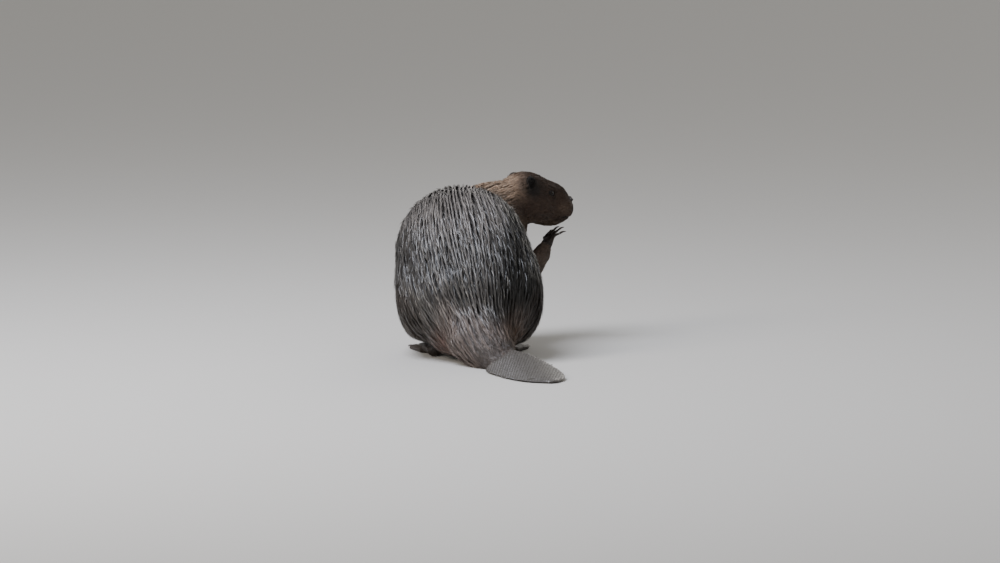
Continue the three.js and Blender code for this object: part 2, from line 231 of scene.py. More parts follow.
# Camera, light and floor
view = {
    "aim": Vector((33.2, 0, 169.6)) * mm,
    "lift": math.radians(7),       # how far the camera looks down
    "distance": 12.05,
    "lens": 200,
    "sensor": 36,
}


def placeCamera():
    data = bpy.data.cameras.new("camera")
    data.lens = view["lens"]
    data.sensor_width = view["sensor"]
    data.sensor_fit = "HORIZONTAL"
    data.clip_end = 200
    camera = newObject("camera", data)
    back = Vector((0, -math.cos(view["lift"]), math.sin(view["lift"])))
    camera.location = view["aim"] + back * view["distance"]
    camera.rotation_euler = (-back).to_track_quat("-Z", "Y").to_euler()
    bpy.context.scene.camera = camera


def placeLight(kind, name, place, aim, power, colour, **settings):
    data = given(bpy.data.lights.new(name, kind), settings)
    data.energy = power
    data.color = linear(colour)[:3]
    lamp = newObject(name, data)
    lamp.location = place
    lamp.rotation_euler = (Vector(aim) - Vector(place)).to_track_quat("-Z", "Y").to_euler()


placeCamera()
placeLight("AREA", "skyLight", (-1.3, -0.7, 3.2), (0, 0, 0.15), 130, "#edf2ff", shape="DISK", size=2.2)
placeLight("AREA", "keyLight", (-3.0, -1.9, 2.2), (0, 0, 0.15), 56, "#fff6ea", shape="DISK", size=1.5)
# the fill has no edge, so the far floor has none either
placeLight("SUN", "fillLight", (1.5, 3.1, 1.5), (0, 0.1, 0.2), 0.6, "#fffaf2", angle=math.radians(40))


def wired(tree, node, values=None, links=None):
    # numbers and colours go on the sockets themselves, links to what feeds them
    for key, value in (values or {}).items():
        node.inputs[key].default_value = value
    for key, (source, output) in (links or {}).items():
        tree.links.new(source.outputs[output], node.inputs[key])
    return node


def addNode(tree, kind, settings=None, values=None, links=None):
    # one node with its settings, its socket values and what feeds it
    return wired(tree, given(tree.nodes.new("ShaderNode" + kind), settings or {}), values, links)


def studioWorld():
    # an even pale room, dimmer low down so that it meets the floor with no line
    world = bpy.data.worlds.new("studio")
    world.use_nodes = True
    tree = world.node_tree
    place = addNode(tree, "TexCoord")
    parts = addNode(tree, "SeparateXYZ", None, None, {"Vector": (place, "Generated")})
    glow = addNode(tree, "MapRange", {"interpolation_type": "SMOOTHSTEP"},
                   {"From Max": 0.4, "To Min": 0.29, "To Max": 0.42}, {"Value": (parts, "Z")})
    wired(tree, tree.nodes["Background"], {"Color": linear("#e9e8e6")}, {"Strength": (glow, "Result")})
    bpy.context.scene.world = world


studioWorld()


def newMaterial(name):
    material = bpy.data.materials.new(name)
    material.use_nodes = True
    tree = material.node_tree
    return material, tree, tree.nodes["Principled BSDF"]


def makeFloor():
    bm = bmesh.new()
    bmesh.ops.create_circle(bm, cap_ends=True, segments=64, radius=60)
    floor = newObject("floor", meshOf(bm, "floor"))
    material, tree, shader = newMaterial("paintedStudioFloor")
    wired(tree, shader, {"Base Color": linear("#d9d7d3"), "Roughness": 0.7, "Specular IOR Level": 0.2})
    floor.data.materials.append(material)


makeFloor()
say("camera, lights and floor")


# Skin
# What grows on each part of the body. Depth is how far the skin lies under the coat's tips,
# length and width are a lock's own, spacing is between their roots, all in mm.
coatOf = {
    "trunk":      {"depth": 11, "length": 54, "width": 1.3, "spacing": 1.62},
    "neck":       {"depth": 8, "length": 32, "width": 1.15, "spacing": 1.4},
    "head":       {"depth": 4.2, "length": 13, "width": 0.72, "spacing": 0.98},
    "tail_root":  {"depth": 7, "length": 30, "width": 1.15, "spacing": 1.5},
    "tail_blade": {"depth": 0.9, "length": 5, "width": 0.8, "spacing": 9},
    "hind_leg":   {"depth": 9, "length": 46, "width": 1.3, "spacing": 1.75},
    "hind_foot":  {"depth": 0.6, "length": 5.5, "width": 0.6, "spacing": 2.6},
    "foreleg":    {"depth": 4.5, "length": 19, "width": 0.95, "spacing": 1.3},
    "forefoot":   {"depth": 0.5, "length": 4.5, "width": 0.5, "spacing": 1.4},
    "ear":        {"depth": 0.4, "length": 5, "width": 0.5, "spacing": 1.05},
}

skin = {
    "overlap": 0.6 * mm,       # closes the thin cuts between the parts
    "voxel": 2.0 * mm,
    "coarseShare": 0.28,       # of the faces kept where the coat hides them
    "sampleStep": 5 * mm,      # between the points that tell one part from the next
    "headFrom": 25,            # the head's finer faces start this far forward in its own axes, mm
    "headWide": 80,
    "headHigh": 85,
    "feetBelow": 32 * mm,
    "feetAhead": 30 * mm,
    "pawRoom": 6 * mm,         # round the forepaws' own boxes
    "noseFrom": 122,           # the finest faces of the muzzle start here, mm
}


def kindOf(node):
    return next(kind for kind in coatOf if node.startswith(kind))


fleshNodes = [n for n in sorted(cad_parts) if any(n.startswith(kind) for kind in coatOf)]


def joinedFlesh():
    bm = bmesh.new()
    for node in fleshNodes:
        one = mergedNode(node)
        one.normal_update()
        for v in one.verts:
            v.co += v.normal * skin["overlap"]
        part = meshOf(one, node)
        bm.from_mesh(part)
        bpy.data.meshes.remove(part)
    return newObject("skin", meshOf(bm, "skin"))


def labelTree():
    # points strewn over each part's faces, to tell which part a place on the skin belongs to
    places, kinds = [], []
    for node in fleshNodes:
        one = bmesh.new()
        one.from_mesh(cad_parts[node].data)
        for _ in range(3):
            long = [e for e in one.edges if e.calc_length() > 1.6 * skin["sampleStep"]]
            if long:
                bmesh.ops.subdivide_edges(one, edges=long, cuts=1)
                bmesh.ops.triangulate(one, faces=one.faces)
        places += [v.co.copy() for v in one.verts] + [f.calc_center_median() for f in one.faces]
        kinds += [node] * (len(one.verts) + len(one.faces))
        one.free()
    return treeOf(np.array(places)), kinds


def nearest(tree, points):
    find = tree.find
    return np.array([find(p)[1] for p in points.tolist()])


def treeOf(points):
    tree = KDTree(len(points))
    for i, p in enumerate(points.tolist()):
        tree.insert(p, i)
    tree.balance()
    return tree


pawBoxes = [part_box(f"forefoot_{side}") for side in sideSign]
pawLow = np.min([low for low, _ in pawBoxes], axis=0) - skin["pawRoom"]
pawHigh = np.max([high for _, high in pawBoxes], axis=0) + skin["pawRoom"]


def finerParts(places):
    # which points are on the head, on the hind feet and on the forepaws
    x, y, z = toHead(places).T
    onHead = (y > skin["headFrom"]) & (np.abs(x) < skin["headWide"]) & (np.abs(z) < skin["headHigh"])
    onFeet = (places[:, 2] < skin["feetBelow"]) & (places[:, 1] > skin["feetAhead"])
    return onHead, onFeet, ((places > pawLow) & (places < pawHigh)).all(1)


skinPiece = joinedFlesh()
addModifier(skinPiece, "REMESH", mode="VOXEL", voxel_size=skin["voxel"])
mesh = applied(skinPiece)
say(f"skin remeshed, {len(mesh.vertices)} points")

hidden = np.nonzero(~np.any(finerParts(readPoints(mesh)), axis=0))[0]
skinPiece.vertex_groups.new(name="hidden").add(hidden.tolist(), 1.0, "REPLACE")
addModifier(skinPiece, "DECIMATE", ratio=skin["coarseShare"], vertex_group="hidden")
mesh = applied(skinPiece)
skinPiece.vertex_groups.clear()
say(f"skin thinned, {len(mesh.vertices)} points, {len(mesh.polygons)} faces")

# Soften the facets: least on the feet, more on the face, most under the long coat.
places = readPoints(mesh)
onHead, onFeet, onPaws = finerParts(places)
softness = np.where(onFeet | onPaws, 0.12, np.where(onHead, 0.45, 0.6))
writePoints(mesh, blur(places, readEdges(mesh), 14, softness))


def splitFaces(bm, wanted):
    edges = {e for f in bm.faces if wanted(f.calc_center_median()) for e in f.edges}
    bmesh.ops.subdivide_edges(bm, edges=list(edges), cuts=1, use_grid_fill=True)


# Finer faces round the eyes, and over the lips and the end of the muzzle.
bm = bmesh.new()
bm.from_mesh(mesh)
for reach in (15 * mm, 12 * mm):
    splitFaces(bm, lambda middle: any((middle - eye).length < reach for eye in eyePlaces.values()))
splitFaces(bm, lambda middle: toHead(np.array(middle))[1] > skin["noseFrom"])
bm.to_mesh(mesh)
bm.free()

edges = readEdges(mesh)
places = readPoints(mesh)
normals = readNormals(mesh)
sampleTree, sampleNodes = labelTree()
nodeAt = [sampleNodes[i] for i in nearest(sampleTree, places)]
onLeft = np.array([n.endswith("_left") for n in nodeAt])
kinds = list(coatOf)
kindAt = np.array([kinds.index(kindOf(n)) for n in nodeAt])
field = {f: np.array([coatOf[k][f] for k in kinds], float)[kindAt] for f in coatOf["trunk"]}
isKind = {k: kindAt == i for i, k in enumerate(kinds)}
say("parts found on the skin")


def toward(amount, **targets):
    # these fields go towards their targets where amount is 1
    for name, target in targets.items():
        field[name] += (target - field[name]) * amount


def spread(values, rounds):
    # blurred over the skin, as one number for each point
    return blur(values * 1.0, edges, rounds)[:, 0]


x, y, z = places.T
inHeadAxes = toHead(places)
headForward = inHeadAxes[:, 1]
tailBack = toTail(places)[:, 1]
eyeGap = np.min([np.linalg.norm(places - np.array(e), axis=1) for e in eyePlaces.values()], axis=0) / mm
noseGap = np.linalg.norm((inHeadAxes - np.array(noseInHead) / mm) / (16, 7, 10.5), axis=1)

onTrunk = isKind["trunk"] * 1.0
toward(onTrunk * ease(normals[:, 1], 0.1, 0.8), length=36, depth=8.5)             # belly and chest
nearFloor = ease(-z, -0.05, -0.01) * (onTrunk + isKind["hind_leg"])
toward(nearFloor, length=22, depth=4)
nearBlade = isKind["tail_root"] * ease(tailBack, 30, 98)
toward(nearBlade, length=11, depth=1.6, width=1.0)
nearHeel = isKind["hind_leg"] * ease(-z, -0.075, -0.03)
toward(nearHeel, length=13, depth=2.6, width=1.0)
for side in sideSign:
    gapToPaw = np.linalg.norm(places - np.array(boxMiddle(f"forefoot_{side}")), axis=1) / mm
    foreleg = isKind["foreleg"] & (onLeft == (side == "left"))
    toward(foreleg * ease(gapToPaw, 75, 150), length=38, depth=7.5)               # near the shoulder
    toward(foreleg * ease(-gapToPaw, -70, -22), length=8, depth=1.6, width=0.8)   # near the paw
field["hold"] = np.ones(len(places))           # how far the hair is drawn to its wet strand
rumpHere = ease(-z, -0.130, -0.085) * ease(-y, 0.015, 0.070)
rumpHere *= ease(-np.abs(x - 0.005), -0.125, -0.080)
toward(np.maximum(rumpHere, isKind["tail_root"]), hold=0.3)
toward(rumpHere * onTrunk, length=30, depth=7.5)
onHeadPart = isKind["head"] * 1.0
muzzle = onHeadPart * ease(headForward, 84, 150)
toward(muzzle, length=5, depth=1.5, width=0.6, spacing=0.9)
napeward = onHeadPart * ease(-headForward, -50, -10)
toward(napeward, length=21, depth=6)
for name, rounds in (("depth", 14), ("length", 10), ("width", 10), ("spacing", 6)):
    field[name] = spread(field[name], rounds)
toward(ease(-eyeGap, -20, -9.5), length=2.5, depth=0.45, width=0.5)
toward(ease(-noseGap, -1.7, -1.05) * onHeadPart, length=2.2, depth=0.5, spacing=1.6)
toward(ease(-z, -0.004, -0.001), depth=0)                              # soles lie on the floor

# A crease parts the haunch from the belly and from the rump.
creaseDepth = 5.5
haunch = spread(isKind["hind_leg"], 14)
crease = 4 * haunch * (1 - haunch) * ease(-z, -0.175, -0.110)
skinPlaces = places - normals * ((field["depth"] + creaseDepth * crease) * mm)[:, None]
skinPlaces = blur(skinPlaces, edges, 3, np.where(field["depth"] > 3, 0.5, 0.0))


# Face: lids, lips and nose seen in the skin
lids = {
    "length": 6.1,       # half the opening along the eye, mm
    "height": 3.7,       # half its height at the middle
    "lower": 0.82,       # the lower half's share of that
    "thick": 0.8,        # lid over the eyeball
    "reach": 15,         # where the lids end in the face
    "furFrom": 1.4,      # fur starts here, where 1 is the rim of the opening
    "darkTo": 1.9,       # dark lid skin fades out here
    "out": (0.86, 0.34, 0.38),   # which way an eye looks: outwards, forwards and up in the head's axes
}


def eyeFrame(side):
    out = headAxes @ Vector((sideSign[side] * lids["out"][0], lids["out"][1], lids["out"][2])).normalized()
    along = headAxes @ Vector((0, 1, 0.12))
    along = (along - out * along.dot(out)).normalized()
    up = out.cross(along) * sideSign[side]
    if up.z < 0:
        up = -up
    return np.array([along, up, out])


def inEye(points, side):
    # places along an eye's opening, up from it and out of it, in mm
    return ((points - np.array(eyePlaces[side])) @ eyeFrame(side).T / mm).T


def lidSpread(points):
    # 1 on the rim of an eye's opening, 2 twice as far out
    least = np.full(len(points), 9.0)
    for side in sideSign:
        a, b, c = inEye(points, side)
        least = np.where(c > -1, np.minimum(least, np.hypot(a / lids["length"], b / lids["height"])), least)
    return least


def shapeLids(points, side):
    radius = eyeRadius / mm
    a, b, c = inEye(points, side)
    away = np.hypot(a, b)
    near = (away < lids["reach"]) & (c > -1)
    opening = lids["height"] * np.sqrt(np.clip(1 - (a / lids["length"]) ** 2, 0, 1)) ** 1.15
    opening = np.where(b > 0, opening, opening * lids["lower"])
    past = np.abs(b) - opening          # how far outside the opening, mm
    past = np.where(np.abs(a) > lids["length"], np.hypot(np.abs(a) - lids["length"], b), past)
    ball = np.sqrt(np.clip((radius + lids["thick"]) ** 2 - away ** 2, 0, None))
    hold = ease(-away, -lids["reach"], -lids["length"] - 0.6)
    raised = np.maximum(c, ball) + 0.2 * spot((past, 0.9, 0.8))
    folds = 0.7 * spot((past, 4.2, 0.9)) * (b > 0) + 0.45 * spot((past, 3.4, 0.8)) * (b <= 0)
    shaped = c + hold * (raised - folds - c)
    inside = ease(-past, -0.15, 0.55)
    shaped = shaped + inside * (radius * 0.45 - shaped)
    c = np.where(near, shaped, c)
    return np.array(eyePlaces[side]) + np.stack([a, b, c], 1) @ eyeFrame(side) * mm


for side in sideSign:
    skinPlaces = shapeLids(skinPlaces, side)

mouth = {"height": -30, "corner": 108, "depth": 2.4, "width": 1.7, "droop": 9, "split": 1.8}
x, y, z = toHead(skinPlaces).T
mouthLine = mouth["height"] - mouth["droop"] * ease(-y, -140, -mouth["corner"])
mouthHere = spot((z, mouthLine, mouth["width"])) * onHeadPart
mouthHere *= ease(y, mouth["corner"], mouth["corner"] + 16)
philtrum = spot((x, 0, 1.5)) * ease(y, 138, 146) * onHeadPart
philtrum *= ease(-z, -2, 4) * ease(z, mouth["height"] - 2, mouth["height"] + 2)
skinPlaces -= normals * ((mouthHere * mouth["depth"] + philtrum * mouth["split"]) * mm)[:, None]
toward(np.clip(mouthHere + philtrum, 0, 1), length=2.2)

bareSkin = spread(isKind["hind_foot"] | isKind["forefoot"] | isKind["tail_blade"], 4)
skinPlaces[:, 2] = np.maximum(skinPlaces[:, 2], 0)
writePoints(mesh, skinPlaces)
normals = readNormals(mesh)
places = skinPlaces
say(f"skin shaped, {len(places)} points")


# Markings, with painted shade and painted highlights: the same colours on skin and coat
markingsAndPaintedLight = {
    "back": "#504d4a",          # slate grey-brown, wet
    "backTopPaintedHighlight": "#857f7b",      # painted highlight: the top of the back made paler, as where it faces the sky
    "rightFlankPaintedShade": "#171512",     # painted shade on the right flank, darker where the light doesn't reach
    "belly": "#4c3c31",
    "rump": "#6b605a",          # greyish pink over the root of the tail
    "rumpWarm": "#5e4938",      # warm brown to the right of the tail
    "rumpFold": "#6d5046",      # reddish brown in the fold between haunch and rump
    "head": "#402f23",
    "nape": "#ad947e",          # tan streaks from the nape to the shoulder
    "cheek": "#4c3a2d",
    "muzzle": "#6d5a4a",
    "chin": "#55432d",
    "lips": "#1f1814",
    "earPaintedShadow": "#1c1510",      # painted shadow of the ear on the fur round it, near black
    "ear": "#181310",
    "leg": "#3d332b",
    "foreleg": "#4a3829",
    "foot": "#3a312b",
    "tail": "#5a5652",
    "lidSkin": "#15110f",
}
paint = {name: np.array(linear(code)[:3]) for name, code in markingsAndPaintedLight.items()}


def markingsAndPaintedLightAt(points, facing):
    wander = cloudy(points, 0.045)
    fleck = cloudy(points, 0.012, 9.0)
    colour = np.tile(paint["back"], (len(points), 1))

    def blend(name, amount):
        nonlocal colour
        amount = np.clip(amount, 0, 1).reshape(-1, 1)
        colour = colour + (paint[name] - colour) * amount

    x, y, z = points.T / mm
    # painted highlight: the top of the back paler
    blend("backTopPaintedHighlight", ease(z + 14 * wander, 240, 325) * 0.62)
    blend("belly", ease(facing[:, 1] + 0.3 * wander, 0.15, 0.75) * (y > 60))
    blend("belly", ease(-z, -40, -5) * 0.6)
    # painted shade: the right flank darker
    blend("rightFlankPaintedShade", ease(x + 14 * wander, -6, 56) * ease(-y, -250, -120) * 0.94)
    blend("leg", isLeg * 0.55)
    rump = ease(-(z - 0.35 * np.abs(x - 10)) - 22 * wander, -146, -88) * ease(-y, -40, 20)
    blend("rump", rump * ease(-np.abs(x + 8), -130, -70))
    blend("rumpWarm", spot((x, 62, 28), (z, 84, 42)) * (y < 40) * 0.85)
    blend("rumpFold", spot((x, -108, 20), (z, 64, 34)) * (y < 40) * (0.75 + 0.3 * fleck))
    blend("head", isFront)
    x, y, z = toHead(points).T
    streak = ease(-y, -50, 0) * ease(z + 10 * wander, -22, 14)
    blend("nape", np.clip(isNape * 1.15, 0, 1) * streak * (0.95 + 0.3 * fleck))
    blend("cheek", isFront * spot((y, 78, 34), (z, -14, 22)) * 0.7)
    blend("muzzle", isFront * spot((y, 130, 18), (z, -14, 15)) * 0.8)
    blend("chin", isFront * ease(-z, 28, 54) * 0.7)
    blend("foreleg", isForeleg * 0.9)
    # painted shadow of the ear on the fur beside it
    besideEar = spot((y, 48, 20), (z, 22, 20)) * ease(np.abs(x), 18, 36)
    blend("earPaintedShadow", isFront * 1.3 * besideEar)
    blend("ear", isEar)
    blend("foot", isFoot)
    blend("tail", isTail)
    blend("lidSkin", ease(-lidSpread(points), -lids["darkTo"], -lids["furFrom"]))
    blend("lips", np.clip(mouthHere + philtrum, 0, 1) * 0.9)
    return colour * (1 + 0.10 * wander + 0.10 * fleck)[:, None]


isLeg = spread(isKind["hind_leg"], 12)
isForeleg = spread(isKind["foreleg"], 20)
isFront = spread(isKind["head"] | isKind["neck"], 6)
isNape = spread(isFront, 40)
isEar = spread(isKind["ear"], 4)
isFoot = spread(isKind["hind_foot"] | isKind["forefoot"], 5)
isTail = spread(isKind["tail_blade"], 3)
markingAndPaintedLight = markingsAndPaintedLightAt(places, normals)
say("markingsAndPaintedLight")


def setAttribute(mesh, name, kind, values):
    made = mesh.attributes.new(name, kind, "POINT")
    values = values.reshape(len(mesh.vertices), -1)
    if kind == "FLOAT_COLOR":
        values = np.hstack([values, np.ones((len(values), 1))])
    channel = {"FLOAT": "value", "FLOAT_VECTOR": "vector", "FLOAT_COLOR": "color"}[kind]
    made.data.foreach_set(channel, values.astype(np.float32).ravel())


setAttribute(mesh, "markingAndPaintedLight", "FLOAT_COLOR", markingAndPaintedLight)
setAttribute(mesh, "bareSkin", "FLOAT", bareSkin)
smooth(mesh)


def unwrapSkin():
    mesh.uv_layers.new(name="OFBake")
    bpy.context.view_layer.objects.active = skinPiece
    skinPiece.select_set(True)
    bpy.ops.object.mode_set(mode="EDIT")
    bpy.ops.mesh.select_all(action="SELECT")
    bpy.ops.uv.smart_project(angle_limit=math.radians(72), island_margin=0.002)
    bpy.ops.object.mode_set(mode="OBJECT")
    skinPiece.select_set(False)


unwrapSkin()
say("skin unwrapped")


def skinMaterial():
    # wet hide: dull dark underfur where the coat grows, pebbled leather where it is bare
    material, tree, shader = newMaterial("wetBeaverHide")
    marks = addNode(tree, "Attribute", {"attribute_name": "markingAndPaintedLight"})
    bareAt = addNode(tree, "Attribute", {"attribute_name": "bareSkin"})
    place = addNode(tree, "TexCoord")
    # pebbles of about 1.6 mm on the bare feet
    pebbles = addNode(tree, "TexVoronoi", {"feature": "SMOOTH_F1"}, {"Scale": 1 / 0.0016},
                      {"Vector": (place, "Object")})
    # soft underfur, drawn at 0.8 mm
    underfur = addNode(tree, "TexNoise", None, {"Scale": 1 / 0.0008, "Detail": 3.0},
                       {"Vector": (place, "Object")})
    stains = addNode(tree, "TexNoise", None, {"Scale": 1 / 0.018, "Detail": 4.0},
                     {"Vector": (place, "Object")})
    shade = addNode(tree, "MapRange", None, {"To Min": 0.55, "To Max": 0.95}, {"Value": (stains, "Fac")})
    bright = addNode(tree, "VectorMath", {"operation": "SCALE"}, None,
                     {"Vector": (marks, "Color"), "Scale": (shade, "Result")})
    # sockets 2 and 3 are the mixed numbers
    relief = addNode(tree, "Mix", {"data_type": "FLOAT"}, None,
                     {"Factor": (bareAt, "Fac"), 2: (underfur, "Fac"), 3: (pebbles, "Distance")})
    bump = addNode(tree, "Bump", None, {"Strength": 0.5, "Distance": 0.0006}, {"Height": (relief, "Result")})
    rough = addNode(tree, "MapRange", None, {"To Min": 0.75, "To Max": 0.5}, {"Value": (bareAt, "Fac")})
    wired(tree, shader, {"Specular IOR Level": 0.3},
          {"Base Color": (bright, "Vector"), "Normal": (bump, "Normal"), "Roughness": (rough, "Result")})
    return material


finished(skinPiece, "back_coat", skinMaterial(), *fleshNodes)


# Which way the hair lies
def awayFrom(start):
    return unit(places - np.array(start))


def headingTo(end):
    return unit(np.array(end) - places)


def laid(lie, mask, way):
    # the hair lies this way where mask holds
    return np.where(mask[:, None], way, lie)


down = np.array([0, 0, -1.0])
backward = unit(np.array([0.02, -1.0, -0.25]))
toTheTail = unit(headingTo(inTail(0, 112, 26)) + 0.75 * down)
overShoulders = ease(places[:, 1], 0.04, 0.13)[:, None]
# from the head back to the tail
lie = unit(toTheTail + (backward + 0.12 * down - toTheTail) * overShoulders)
lie = laid(lie, isKind["head"], unit(awayFrom(inHead(0, 158, 0)) + 0.35 * unit(-headWay)))
lie = laid(lie, isKind["neck"], unit(0.8 * lie - headWay + 0.3 * down))
lie = laid(lie, isKind["hind_leg"] & (places[:, 2] < 0.12), unit(lie + 0.9 * down))
lie = laid(lie, isKind["hind_foot"], np.array([0, 1.0, -0.1]))
lie = laid(lie, isKind["tail_blade"], tailWay)
fingers = np.array(headAxes @ Vector((0, 0.5, -0.6)))
for side in sideSign:
    here = onLeft == (side == "left")
    lie = laid(lie, isKind["foreleg"] & here, unit(headingTo(boxMiddle(f"forefoot_{side}")) + 0.25 * down))
    lie = laid(lie, isKind["forefoot"] & here, fingers)
    lie = laid(lie, isKind["ear"] & here, awayFrom(inHead(sideSign[side] * 42, 26, 24)))
lie = blur(lie, edges, 30)
lie = unit(lie - normals * dot(lie, normals))
say("lie of the coat")

skinTree = treeOf(places)


def step(points, length, turn):
    # one step over the skin along the lie of the hair: where it starts and ends, and the axes there
    near = nearest(skinTree, points)
    up = normals[near]
    points = points - up * dot(points - places[near], up)
    way = lie[near]
    way = way + np.cross(up, way) * turn
    way = unit(way - up * dot(way, up))
    return points, up, way, points + way * length


# Wet strands: lines that the long hairs gather to
strands = {
    "gap": 4.9 * mm,        # between neighbours
    "step": 4.5 * mm,
    "longest": 46,          # steps
    "shortest": 7,
    "tries": 15000,
    "hairFrom": 20,         # they start in hair longer than this, mm
    "hairTo": 18,           # and end where it is shorter than this
    "closest": 0.62,        # how near they may run, as a share of gap
    "reach": 7 * mm,        # locks farther off than this stay free
    "crest": 2.0 * mm,      # locks this near stand highest and are painted paler
}


def strandLines():
    longCoat = np.nonzero(field["length"] > strands["hairFrom"])[0]
    seeds = places[chance.permutation(longCoat)[:strands["tries"]]]
    cell = strands["gap"]
    least = cell * strands["closest"]
    cellsAround = [(a, b, c) for a in (-1, 0, 1) for b in (-1, 0, 1) for c in (-1, 0, 1)]
    taken, lines = {}, []

    def crowded(p, reach, own):
        i, j, k = (int(math.floor(c / cell)) for c in p)
        for a, b, c in cellsAround:
            for other, q in taken.get((i + a, j + b, k + c), ()):
                apart = (q[0] - p[0]) ** 2 + (q[1] - p[1]) ** 2 + (q[2] - p[2]) ** 2
                if other != own and apart < reach * reach:
                    return True
        return False

    for seed in seeds.tolist():
        if crowded(seed, cell, -1):
            continue
        line, here = [], Vector(seed)
        most = int(chance.integers(strands["shortest"] + 4, strands["longest"]))
        sway = float(chance.normal(0, 0.035))
        for _ in range(most):
            near = skinTree.find(here)[1]
            up = Vector(normals[near])
            here = here - up * (here - Vector(places[near])).dot(up)
            if crowded(here, least, len(lines)) or field["length"][near] < strands["hairTo"]:
                break
            line.append(tuple(here))
            way = Vector(lie[near])
            way = (way + up.cross(way) * (sway + float(chance.normal(0, 0.05)))).normalized()
            here = here + way * strands["step"]
        if len(line) < strands["shortest"]:
            continue
        for p in line:
            taken.setdefault(tuple(int(math.floor(c / cell)) for c in p), []).append((len(lines), p))
        lines.append(line)
    return lines


lines = strandLines()
linePoints = np.array([p for line in lines for p in line])
lineOf = np.array([i for i, line in enumerate(lines) for _ in line])
lineTree = treeOf(linePoints)
lineTone = chance.normal(1, 0.16, len(lines))
say(f"{len(lines)} wet strands, {len(linePoints)} points")


# The coat: pointed locks in joined meshes
mesh.calc_loop_triangles()
triangles = readAll(mesh.loop_triangles, "vertices", 3, np.int32)
triangleLoops = readAll(mesh.loop_triangles, "loops", 3, np.int32)
skinMap = readAll(mesh.uv_layers["OFBake"].data, "uv", 2)
corners = places[triangles]
areas = np.linalg.norm(np.cross(corners[:, 1] - corners[:, 0], corners[:, 2] - corners[:, 0]), axis=1) / 2


def scatter(mask):
    # roots strewn over the skin where mask holds, as close as the coat's own spacing
    first = triangles[:, 0]
    density = mask[first] / (field["spacing"][first] * mm) ** 2
    weights = areas * density
    count = int(weights.sum())
    picked = chance.choice(len(triangles), count, p=weights / weights.sum())
    a, b = chance.random((2, count))
    a, b = np.where(a + b > 1, 1 - a, a), np.where(a + b > 1, 1 - b, b)
    shares = np.stack([1 - a - b, a, b], 1)[:, :, None]
    return {
        "place": (corners[picked] * shares).sum(1),
        "map": (skinMap[triangleLoops[picked]] * shares).sum(1),
        "colour": (markingAndPaintedLight[triangles[picked]] * shares).sum(1),
        "point": triangles[picked, 0],
    }


def lockPattern(rows):
    # a flat ribbon that ends in one tip
    bm = bmesh.new()
    bmesh.ops.create_grid(bm, x_segments=1, y_segments=rows, size=1)
    tip = [v for v in bm.verts if v.co.y > 0.999]
    bmesh.ops.pointmerge(bm, verts=tip, merge_co=(0, 1, 0))
    points, faces = patternOf(bm)
    return points[:, 0], (points[:, 1] + 1) / 2, faces


rootSunk = 0.4 * mm          # roots start under the skin
lineOffFloor = 0.7 * mm
edgeOffFloor = 0.4 * mm
patchSize = 0.003            # of each lock in the skin's map


def lockPaths(roots, rows, gather):
    # each lock's line over the skin, its heights, and how near it runs to a wet strand
    count = len(roots["place"])
    lengths = field["length"][roots["point"]] * mm * chance.uniform(0.72, 1.22, count)
    deep = field["depth"][roots["point"]] * mm * chance.uniform(0.5, 1.0, count) ** 0.8
    turn = chance.normal(0, 0.06 if gather else 0.12, count)[:, None]
    here = roots["place"]
    path, ups, crest, tone = [], [], np.ones(count), np.ones(count)
    for row in range(rows + 1):
        here, up, way, ahead = step(here, (lengths / rows)[:, None], turn)
        if gather:
            near = nearest(lineTree, here)
            pull = linePoints[near] - here
            pull = pull - way * dot(pull, way) - up * dot(pull, up)
            far = np.linalg.norm(pull, axis=1)
            inReach = far < strands["reach"]
            if row == 0:
                crest = spot((far, 0, strands["crest"]))
                # painted shade: locks off every wet strand get a darker tone
                tone = np.where(inReach, lineTone[lineOf[near]], 0.8)
            share = gather * ease(row / rows, 0.0, 0.75) * inReach * field["hold"][roots["point"]]
            pull = pull * share[:, None]
            here, ahead = here + pull * 0.9, ahead + pull * 0.9
        path.append(here)
        ups.append(up)
        here = ahead
    t = np.linspace(0, 1, rows + 1)
    rise = ease(t, -0.05, 0.42) - 0.22 * ease(t, 0.7, 1.0)
    wild = 0.8 * chance.random(count) ** 4          # a few locks stand out at the tip
    deep = deep * (0.62 + 0.38 * crest)
    heights = deep[:, None] * (rise[None] + wild[:, None] * t[None] ** 2) - rootSunk * (t == 0)
    path, ups = np.stack(path, 1), np.stack(ups, 1)
    path = path + ups * heights[..., None]
    path[..., 2] = np.maximum(path[..., 2], lineOffFloor)
    return path, ups, crest, tone


def tufted(path, roots, perTuft, share):
    # short hair stands in small tufts: each lock leans to the middle one of its tuft
    middles = chance.permutation(len(path))[:max(1, len(path) // perTuft)]
    tuft = nearest(treeOf(roots["place"][middles]), roots["place"])
    t = np.linspace(0, 1, path.shape[1])[None, :, None]
    leaned = path + (path[middles[tuft]] - path) * share * t ** 1.3
    return leaned, chance.normal(1, 0.13, len(middles))[tuft]


def joinedCopies(name, points, faces, colours, mapPoints, smooth):
    # one mesh of many like shapes; points is copies by corners, faces are those of one copy
    count, size = points.shape[:2]
    loops = np.concatenate([np.array(f) for f in faces])
    sizes = np.array([len(f) for f in faces])
    allLoops = (np.arange(count)[:, None] * size + loops[None]).ravel()
    starts = (np.arange(count)[:, None] * len(loops) + (np.cumsum(sizes) - sizes)[None]).ravel()
    mesh = bpy.data.meshes.new(name)
    mesh.vertices.add(count * size)
    mesh.loops.add(len(allLoops))
    mesh.polygons.add(len(starts))
    mesh.vertices.foreach_set("co", points.astype(np.float32).ravel())
    mesh.loops.foreach_set("vertex_index", allLoops.astype(np.int32))
    mesh.polygons.foreach_set("loop_start", starts.astype(np.int32))
    mesh.polygons.foreach_set("use_smooth", np.full(len(starts), smooth))
    mesh.update(calc_edges=True)
    setAttribute(mesh, "markingAndPaintedLight", "FLOAT_COLOR", np.repeat(colours, size, axis=0))
    layer = mesh.uv_layers.new(name="OFBake")
    layer.data.foreach_set("uv", mapPoints.reshape(-1, 2)[allLoops].astype(np.float32).ravel())
    return newObject(name, mesh)


